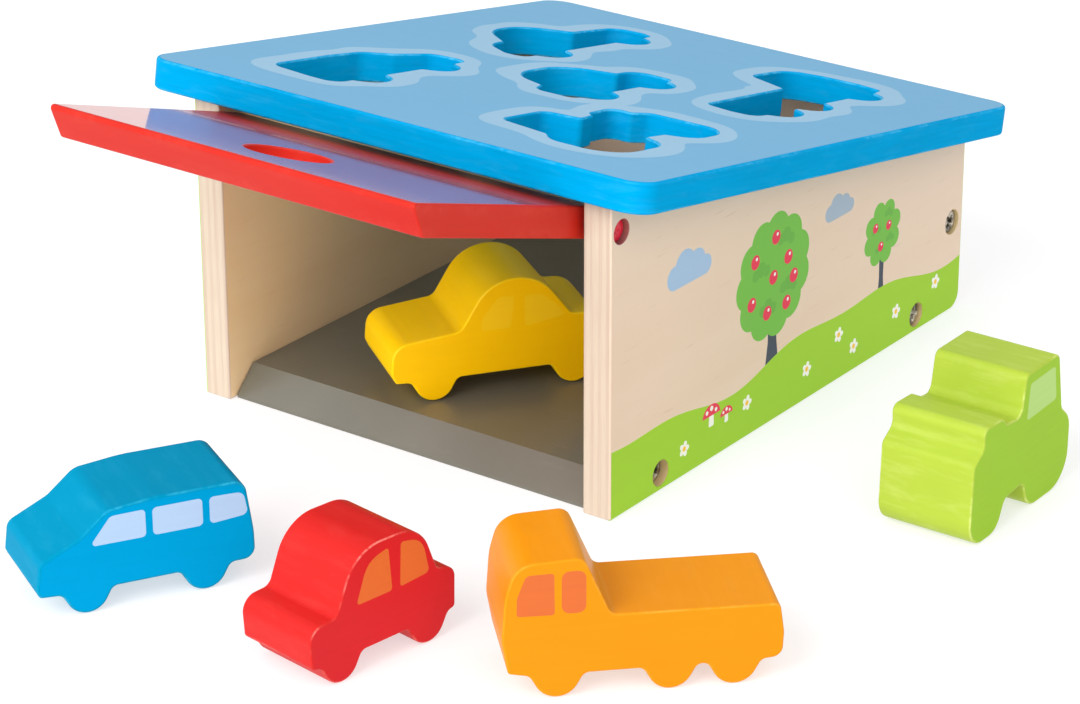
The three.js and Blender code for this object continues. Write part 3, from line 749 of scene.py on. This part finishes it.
def makeDoor():
    s = doorSettings
    half = s["thickness"] / 2
    section = roundedOutline([
        [half, -half, half], [half, half, half],
        [-s["length"], half, s["tipRound"]],
        [s["mitre"] - s["length"], -half, s["tipRound"]],
    ], 6)
    tip = section[section[:, 0] < -s["length"] / 2]
    tip = tip[np.argsort(tip[:, 1])]
    heights = half * np.cos(np.linspace(0, math.pi, s["rows"]))
    tipY = np.interp(heights, tip[:, 1], tip[:, 0])
    hingeY = np.sqrt(np.maximum(half ** 2 - heights ** 2, 0))
    over = np.maximum(np.abs(heights) - (half - s["rounding"]), 0)
    inset = s["rounding"] - np.sqrt(np.maximum(s["rounding"] ** 2 - over ** 2, 0))
    plan = rectangle(0, 0, s["width"], s["length"], s["cornerRound"], 10)
    x = (plan[:, 0] / s["width"] - 0.5) * (s["width"] - 2 * inset[:, None])
    y = tipY[:, None] + plan[:, 1] / s["length"] * (hingeY - tipY)[:, None]
    rows = np.stack([x, y, np.broadcast_to(heights[:, None], x.shape)], -1)
    rim = circle((0, s["holeFromTip"] - s["length"]), s["holeRadius"], s["holePoints"])
    hole = openingRows(rim, s["thickness"], s["holeRounding"], s["holeSteps"])
    hole[..., 2] -= half
    gloss = paintedWood("doorGloss", s["paint"], s["wornAndHighlight"], {
        "streaks": 420, "contrast": 0.012, "drift": 0.012, "wearAndHighlight": (0, 0), "roughness": 0.1,
        "relief": 0.002, "matt": (-29, -17, 0.5), "gloss": 0.8,
        "coat": {"Coat Weight": 0.3, "Coat Roughness": 0.05},
    })
    satin = paintedWood("doorEdgePaint", s["edge"], s["wornAndHighlight"], {
        "streaks": 420, "contrast": 0.012, "drift": 0.03, "wearAndHighlight": (0, 0.1), "roughness": 0.34,
        "relief": 0.006, "gloss": 0.15,
    })
    place = tilted(math.radians(s["opening"]), s["hinge"])
    return makeBoard("doorBoard", [rows, hole], [], place, False, [gloss, satin])


doorBoard = makeDoor()
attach(doorBoard, "door")
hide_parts("door")
print("door made")


# Side walls with a printed meadow outside

sides = (("left", -1), ("right", 1))
screwPlaces = {"front": (-71.8, 5.34, 2.4), "rear": (70.9, 5.34, 1.2), "back": (90.95, 30.55, 0.8)}
wallSettings = {
    "thickness": 9.5, "outer": 75.5, "lowerCorner": 5, "rounding": 0.5, "hinge": (-92.5, 87.2244),
    "headHeight": 2.5, "screwHole": (4.0, 0.25, 2.05), "capDepth": 4.9, "capHole": (3.6, 0.2, 2.3),
}

inks = {
    "grass": linear(151, 198, 14), "leaf": linear(108, 180, 56), "leafShade": linear(96, 168, 52),
    "slate": linear(52, 62, 76), "crimson": linear(222, 38, 72), "sky": linear(156, 184, 214),
    "cloud": linear(158, 173, 188), "sun": linear(240, 188, 46), "petal": linear(236, 236, 226),
    # The cap's bore ink is painted shade: a dark red standing for the red cap's wall in shadow
    "screwBore": linear(206, 180, 124, 0.8), "capBoreShade": linear(160, 78, 74, 0.9),
}

# Where the prints are, along the wall and up it, and how large
meadow = {
    "trees": [
        {"crown": (-14, 47.5, 18.5, 11), "trunk": (-14, 12, 42, 4.6), "apple": 2.3,
         "apples": [(-25.5, 42), (-17, 36.5), (-6, 51), (-13, 59.5), (-24, 55), (-2.8, 44), (-14, 47),
                    (-6.5, 36.5)]},
        {"crown": (48, 41, 10, 8), "trunk": (48, 14, 38, 2.4), "apple": 1.6,
         "apples": [(43.8, 43.6), (51.6, 42.4), (47.2, 36.6)]},
    ],
    "clouds": [(-59, 64, 1.1, "sky"), (22, 57, 0.8, "cloud")],
    "mushrooms": [(-46, 10.5, 4.6), (-38, 9, 3.3)],
    "flowers": [(-27, 11), (6, 10), (24, 15), (82, 13), (-60, 8.5), (33, 8), (58, 11)],
    "grassFrom": (-101, -4), "grassTop": 20.5, "grassPoints": 140,
    "grassWaves": [(2.6, 21, 0.4), (1.5, 9.5, 2)],
}

# Their shapes: rounds are two places and a radius, in shares of the motif's size
shapes = {
    "crownCore": 0.86, "tuftAt": 0.74, "tuft": 0.34, "tuftTurn": 0.3,
    "crownShades": [
        (-0.52, 0.16, 0.1), (-0.36, 0.22, 0.13), (-0.2, 0.16, 0.1), (0.2, 0.56, 0.1), (0.36, 0.6, 0.13),
        (0.5, 0.5, 0.1), (0.3, -0.3, 0.1), (0.46, -0.26, 0.13), (0.6, -0.34, 0.1), (-0.3, -0.52, 0.1),
        (-0.14, -0.47, 0.12), (0, -0.55, 0.1),
    ],
    "trunk": (0.5, 0.62), "appleGlint": (0.3, 0.35, 0.25),
    "cloudRounds": [(-6.4, 0.2, 3.4), (-1.6, 2.2, 4.6), (3.8, 1.4, 3.9), (7.8, -0.4, 2.8)],
    "cloudBar": [[-6.4, -3.2, 1], [7.8, -3.2, 1], [7.8, 0, 1], [-6.4, 0, 1]],
    "mushroomStem": [[-0.3, 0, 0.12], [0.3, 0, 0.12], [0.24, 0.9, 0.1], [-0.24, 0.9, 0.1]],
    "mushroomCap": (0.75, 0.8),
    "mushroomDots": [(-0.5, 1.08, 0.15), (0.02, 1.25, 0.18), (0.52, 1.02, 0.14)],
    "flower": (1.5, 5, 0.7, 60, 0.85),
}


# The grass reaches past the wall's lower and end edges, and its top is a sum of slow waves
def grassOutline():
    end, bottom = meadow["grassFrom"]
    y = np.linspace(end, -end, meadow["grassPoints"])
    waves = (size * np.sin(y / length + phase) for size, length, phase in meadow["grassWaves"])
    z = meadow["grassTop"] + sum(waves)
    return np.concatenate([[[end, bottom]], [[-end, bottom]], np.column_stack([y, z])[::-1]])


def roundPrints(y, z, size, rounds, count, ink):
    return [(circle((y + a * size, z + b * size), r * size, count), inks[ink]) for a, b, r in rounds]


def roundedPrint(corners, y, z, size, ink):
    return (roundedOutline(np.array(corners) * size + [y, z, 0], printStep), inks[ink])


def trunkPrint(y, foot, top, wide):
    middle = (foot + top) / 2
    waist, upper = (wide * share for share in shapes["trunk"])
    outline = [[-wide, foot, 0.8], [wide, foot, 0.8], [waist, middle, 6],
               [upper, top, 0.5], [-upper, top, 0.5], [-waist, middle, 6]]
    return [roundedPrint(outline, y, 0, 1, "slate")]


# A crown is a round with a ring of smaller ones about it, and four darker tufts of three rounds inside
def crownPrint(y, z, radius, tufts):
    ring = shapes["tuftAt"] * directions(fullTurn(tufts) + shapes["tuftTurn"])
    rounds = [(a, b, shapes["tuft"]) for a, b in ring]
    return (roundPrints(y, z, radius, [(0, 0, shapes["crownCore"])], 64, "leaf")
            + roundPrints(y, z, radius, rounds, 36, "leaf")
            + roundPrints(y, z, radius, shapes["crownShades"], 28, "leafShade"))


def applePrints(places, radius):
    prints = [(circle(place, radius, 28), inks["crimson"]) for place in places]
    for y, z in places:
        prints += roundPrints(y, z, radius, [shapes["appleGlint"]], 12, "petal")
    return prints


def cloudPrint(y, z, scale, ink):
    return [*roundPrints(y, z, scale, shapes["cloudRounds"], 36, ink),
            roundedPrint(shapes["cloudBar"], y, z, scale, ink)]


# A mushroom is a rounded stem below half an ellipse with pale dots
def mushroomPrint(y, z, size):
    foot, rise = shapes["mushroomCap"]
    turn = np.linspace(0, math.pi, 24)
    cap = np.column_stack([y + size * np.cos(turn), z + size * (foot + rise * np.sin(turn))])
    return [roundedPrint(shapes["mushroomStem"], y, z, size, "petal"), (cap, inks["crimson"]),
            *roundPrints(y, z, size, shapes["mushroomDots"], 16, "petal")]


# A flower's outline goes out and in once for each petal
def flowerPrint(y, z):
    radius, petals, depth, points, middle = shapes["flower"]
    turn = fullTurn(points)
    reach = radius * (1 + depth * np.abs(np.cos(petals * turn / 2)))
    return [(np.array((y, z)) + reach[:, None] * directions(turn), inks["petal"]),
            (circle((y, z), middle, 16), inks["sun"])]


def meadowPrints():
    prints = []
    for tree in meadow["trees"]:
        prints += trunkPrint(*tree["trunk"]) + crownPrint(*tree["crown"])
        prints += applePrints(tree["apples"], tree["apple"])
    for cloud in meadow["clouds"]:
        prints += cloudPrint(*cloud)
    prints.append((grassOutline(), inks["grass"]))
    for mushroom in meadow["mushrooms"]:
        prints += mushroomPrint(*mushroom)
    for flower in meadow["flowers"]:
        prints += flowerPrint(*flower)
    return prints


# The left wall's outlines are the right wall's, mirrored
def ofSide(points, side):
    return turned(np.column_stack([side * points[:, 0], points[:, 1]]))


# Of each noise: scale, detail, roughness and distortion. Along the grain the scale is a share of that.
birch = {
    "pale": linear(227, 203, 181), "tan": linear(220, 195, 172), "pore": linear(170, 134, 100),
    "figure": (60, 4, 0.55, 0.6), "fineness": (900, 2, 0.5), "poreStep": (0.66, 0.8), "pores": 0.28,
    "lift": 0.025, "roughness": (0.55, 0.65), "relief": 0.02,
}
# The inside's deep share is painted shade, darkening the inner faces towards the rear
insideTonesAndShade = {"pale": linear(255, 226, 176), "tan": linear(246, 213, 161), "pores": 0.15, "deep": 0.5}
grainShare = 0.07
plyLayers = {
    "layers": 7, "shift": 0.35,
    "pale": linear(208, 192, 171), "pink": linear(198, 177, 157), "dark": linear(190, 163, 138),
    "waver": ((120, 30, 1), 2, 0.5), "fibres": ((2600, 90, 1), 3, 0.6), "strength": ((500, 12, 1), 2, 0.5),
    "layerStep": (0.35, 0.65), "strengthStep": (0.3, 0.65), "fibreStep": (0.45, 0.75),
    "fibreShare": 0.35, "roughness": (0.58, 0.68), "relief": 0.03,
}
wallFace = birchFace("birchFace", birch, True, (1, grainShare, 1))
wallInside = birchFace("birchInside", birch | insideTonesAndShade, True, (1, grainShare, 1))
wallEdge = plyEdge("plyEdge", plyLayers, wallSettings["thickness"])


# A place on a wall's outside, so deep below it, looking out
def outward(side, y, z, recess):
    origin = (side * (wallSettings["outer"] - recess), y, z)
    return placement((0, side, 0), (0, 0, 1), (side, 0, 0), origin)


# A hole through a wall: eased at the outside, wide down to its seat and narrow from there
def wallHole(place, depth, wide, ease, narrow):
    thick = wallSettings["thickness"]
    seat = thick - depth
    return steppedRows(place, [
        (wide + ease, thick), (wide, thick - ease), (wide, seat), (narrow, seat), (narrow, 0)])


def makeWall(sideName, side):
    s = wallSettings
    outline = roundedOutline([
        [wallFront, 0, s["rounding"]], [-wallFront, 0, s["lowerCorner"]],
        [-wallFront, roofRear, s["rounding"]], [wallFront, roofFront, s["rounding"]],
    ], 9)
    thick = s["thickness"]
    loops = [roundedRows(ofSide(outline, side), thick, s["rounding"], 4)]
    for y, z, recess in screwPlaces.values():
        loops.append(wallHole((side * y, z), recess + s["headHeight"], *s["screwHole"]))
    y, z = s["hinge"]
    loops.append(wallHole((side * y, z), s["capDepth"], *s["capHole"]))
    prints = [(ofSide(polygon, side), ink) for polygon, ink in meadowPrints()]
    # The cap's hole gets the painted-shade red ink on its wall
    edgeInks = [bareInk, *[inks["screwBore"]] * len(screwPlaces), inks["capBoreShade"]]
    wall = makeBoard(sideName + "Wall", loops, prints, outward(side, 0, 0, thick), False,
                     [wallFace, wallEdge, wallInside], False, (2, 3, 4), edgeInks, True)
    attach(wall, "garage")
    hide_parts(sideName + "_wall")


for sideName, side in sides:
    makeWall(sideName, side)
print("walls made")


# Of each noise: a scale for each axis, detail and roughness. The tone moves between two colours, and
# raises the surface unless a bump does. The roughness follows either, or is even.
finishes = {
    "floorPaint": {
        "tone": ((30, 18, 30), 3, 0.5), "colors": (linear(98, 96, 83), linear(107, 105, 91)),
        "scuffs": ((60, 420, 60), 3, 0.6), "scuffStep": (0.6, 0.8), "scuffShare": 0.2,
        "scuffed": linear(134, 128, 116), "bump": ((900, 900, 900), 2, 0.5), "relief": 0.02,
        "roughness": ("bump", 0.3, 0.4), "shader": {"Specular IOR Level": 0.8},
    },
    "screwSteel": {
        "tone": ((300, 300, 300), 3, 0.6), "colors": (linear(76, 70, 60), linear(210, 202, 188)),
        "step": (0.35, 0.65), "bump": ((400, 4000, 1400), 2, 0.5), "relief": 0.01,
        "roughness": ("tone", 0.25, 0.42), "shader": {"Metallic": 1.0},
    },
    "capPlastic": {
        "tone": ((500, 500, 500), 3, 0.6), "colors": (linear(222, 24, 54), linear(234, 38, 66)),
        "relief": 0.02, "roughness": ("tone", 0.24, 0.34),
    },
    "dowelBeech": {
        "tone": ((1400, 1400, 180), 3, 0.6), "colors": (linear(222, 184, 140), linear(190, 146, 104)),
        "step": (0.35, 0.7), "relief": 0.03, "roughness": 0.7,
    },
}


def plainFinish(name):
    s = finishes[name]
    made = Nodes(name)
    here = made.objectPlace()
    noises = {key: made.noise(here, *s[key]) for key in ("tone", "bump", "scuffs") if key in s}
    color = made.mix(made.ramp(noises["tone"], *s.get("step", noiseMiddle)), *s["colors"])
    if "scuffs" in s:
        scuffs = made.multiply(made.ramp(noises["scuffs"], *s["scuffStep"]), s["scuffShare"])
        color = made.mix(scuffs, color, s["scuffed"])
    roughness = s["roughness"]
    if isinstance(roughness, tuple):
        source, low, high = roughness
        roughness = made.span(noises[source], low, high)
    height = noises.get("bump", noises["tone"])
    return made.finish(color, roughness, height, s["relief"] * mm, **s.get("shader", {}))


# Pieces that keep their own meshes
def dress(names, material):
    for name in names:
        node = nodes[name]
        node.data.materials.clear()
        node.data.materials.append(material)


steel = plainFinish("screwSteel")
dress(["floor_panel"], plainFinish("floorPaint"))
dress(["back_wall"], birchFace("backBirch", birch, False, (grainShare, 1, 1)))
dress([name for name in nodes if name.startswith("hinge_pin_")], steel)
dress([name for name in nodes if "_dowel_" in name], plainFinish("dowelBeech"))
print("finishes set")


# Screws and hinge caps: turned pieces whose top has a cross pressed into it

screwSettings = {
    "profile": [(3.45, 0.26), (3.62, 0.4), (3.7, 0.62), (3.7, 2.06), (3.6, 2.2), (1.75, 2.2),
                (1.75, 21), (1.1, 22.8), (0.3, 24.6)],
    "tip": 24.9, "topRadius": 3.3, "topFall": 0.2, "cross": (5, 1.15, 1.5), "rings": 26,
    "turn": 0.5, "nextTurn": 0.9,
}
capSettings = {
    "profile": [(3.2, 0.16), (3.38, 0.24), (3.48, 0.4), (3.5, 0.6), (3.5, 2.7), (3.3, 3.0)],
    "tip": 3.0, "topRadius": 3.0, "topFall": 0.1, "cross": (3.4, 0.8, 0.4), "rings": 22,
    "turn": 0.35, "recess": 1.6,
}
crossEase, crossEnd, turnedPoints = 0.14, 0.5, 96
redPlastic = plainFinish("capPlastic")


# Depth below the crown: the top's fall by the square of the radius, and in the cross a smooth step over
# each arm's width that grows shallower towards the arm's end
def pressedDepth(x, y, s):
    length, width, depth = s["cross"]
    radius = np.hypot(x, y)
    arms = []
    for along, across in ((x, y), (y, x)):
        side = np.clip((width / 2 + crossEase - np.abs(across)) / (2 * crossEase), 0, 1)
        end = np.clip((length / 2 - np.abs(along)) / crossEnd, 0, 1)
        arms.append(side * side * (3 - 2 * side) * end * (1 - np.abs(along) / length))
    return s["topFall"] * (radius / s["topRadius"]) ** 2 + depth * np.maximum(*arms)


def makeTurned(name, s, place, turn, material):
    count = turnedPoints
    angle = fullTurn(count)
    profile = np.array(s["profile"])
    radii = np.concatenate([s["topRadius"] * np.linspace(1 / s["rings"], 1, s["rings"]), profile[:, 0]])
    x, y = radii[:, None] * np.cos(angle), radii[:, None] * np.sin(angle)
    depth = np.concatenate([pressedDepth(x[:s["rings"]], y[:s["rings"]], s),
                            np.tile(profile[:, 1:], (1, count))])
    rows = np.stack([x, y, -depth], -1)
    c, w = math.cos(turn), math.sin(turn)
    rows = rows @ np.array([[c, w, 0], [-w, c, 0], [0, 0, 1]])
    index = np.arange(len(rows) * count).reshape(len(rows), count)
    first, last = index.size, index.size + 1
    on = np.roll(index, -1, 1)
    faces = gridQuads(index).tolist()
    faces += np.column_stack([np.full(count, first), index[0], on[0]]).tolist()
    faces += np.column_stack([index[-1], np.full(count, last), on[-1]]).tolist()
    ends = [(0, 0, -pressedDepth(0, 0, s)), (0, 0, -s["tip"])]
    piece = addPiece(name, np.concatenate([rows.reshape(-1, 3), ends]), place, faces, [material])
    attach(piece, "garage")
    return piece


for sideName, side in sides:
    for number, (spot, (y, z, recess)) in enumerate(screwPlaces.items()):
        turn = screwSettings["turn"] + screwSettings["nextTurn"] * number
        screwPiece = makeTurned(f"{sideName}{spot.capitalize()}Screw", screwSettings,
                                outward(side, y, z, recess), turn, steel)
        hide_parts(f"screw_{sideName}_{spot}")
    y, z = wallSettings["hinge"]
    capPiece = makeTurned(f"{sideName}HingeCap", capSettings, outward(side, y, z, capSettings["recess"]),
                          capSettings["turn"], redPlastic)
    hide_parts(f"hinge_cap_{sideName}")
print("screws and caps made")


# Studio, in metres: a pale floor, soft light from all round and four lamps

studio = {
    "floor": 3.0, "floorDrop": 0.0002, "floorColor": 0.45, "floorDrift": ((3, 3, 3), 2, 0.5),
    "floorShades": (0.985, 1.0), "floorGlow": 0.58, "world": 0.74,
    "lamps": {  # place, size and power
        "frontLamp": ((0, -2.0, 1.7), 1.5, 31),
        "leftLamp": ((-1.3, -1.5, 1.6), 1.6, 6),
        "rightLamp": ((1.7, -1.1, 1.5), 1.5, 13),
        "lowLamp": ((0.1, -2.4, 0.65), 2.2, 22),
    },
}


def makeFloor():
    reach = studio["floor"]
    mesh = bpy.data.meshes.new("studioFloor")
    level = cadBox[0][2] - studio["floorDrop"]
    corners = reach * np.array([(-1, -1), (1, -1), (1, 1), (-1, 1)])
    mesh.from_pydata(raised(corners, level).tolist(), [], [(0, 1, 2, 3)])
    made = Nodes("studioFloor")
    drift = made.span(made.noise(made.objectPlace(), *studio["floorDrift"]), *studio["floorShades"])
    value = studio["floorColor"]
    color = made.mix(1.0, (value, value, value, 1), drift, "MULTIPLY")
    glow = {"Emission Color": (1, 1, 1, 1), "Emission Strength": studio["floorGlow"]}
    mesh.materials.append(made.finish(color, 0.9, **glow))
    addObject("studioFloor", mesh)


def makeLamp(name, place, size, power):
    light = bpy.data.lights.new(name, "AREA")
    light.shape = "DISK"
    light.size = size
    light.energy = power
    lamp = addObject(name, light)
    lamp.location = place
    lamp.rotation_euler = (-Vector(place)).to_track_quat("-Z", "Y").to_euler()


makeFloor()
world = bpy.data.worlds.new("studioWorld")
world.use_nodes = True
background = world.node_tree.nodes["Background"]
background.inputs["Color"].default_value = (1, 1, 1, 1)
background.inputs["Strength"].default_value = studio["world"]
bpy.context.scene.world = world
for lampName, lamp in studio["lamps"].items():
    makeLamp(lampName, *lamp)

cameraSettings = {
    "azimuth": 35.467, "elevation": 23.802, "roll": 0.2074, "distance": 1.1637, "lens": 123.37,
    "sensor": 36, "farthest": 20, "shift": (-0.04888, -0.00483),
}


def makeCamera():
    s = cameraSettings
    azimuth, elevation, roll = (math.radians(s[key]) for key in ("azimuth", "elevation", "roll"))
    back = Vector((math.sin(azimuth) * math.cos(elevation), -math.cos(azimuth) * math.cos(elevation),
                   math.sin(elevation)))
    right = Vector((math.cos(azimuth), math.sin(azimuth), 0))
    up = back.cross(right)
    rolledRight = math.cos(roll) * right + math.sin(roll) * up
    rolledUp = back.cross(rolledRight)
    data = bpy.data.cameras.new("photoCamera")
    data.sensor_width = s["sensor"]
    data.sensor_fit = "HORIZONTAL"
    data.lens = s["lens"]
    data.shift_x, data.shift_y = s["shift"]
    data.clip_end = s["farthest"]
    camera = addObject("photoCamera", data)
    matrix = Matrix((rolledRight, rolledUp, back)).transposed().to_4x4()
    matrix.translation = back * s["distance"]
    camera.matrix_world = matrix
    bpy.context.scene.camera = camera


makeCamera()
bpy.context.scene.view_settings.view_transform = "Standard"
print("studio and camera set")
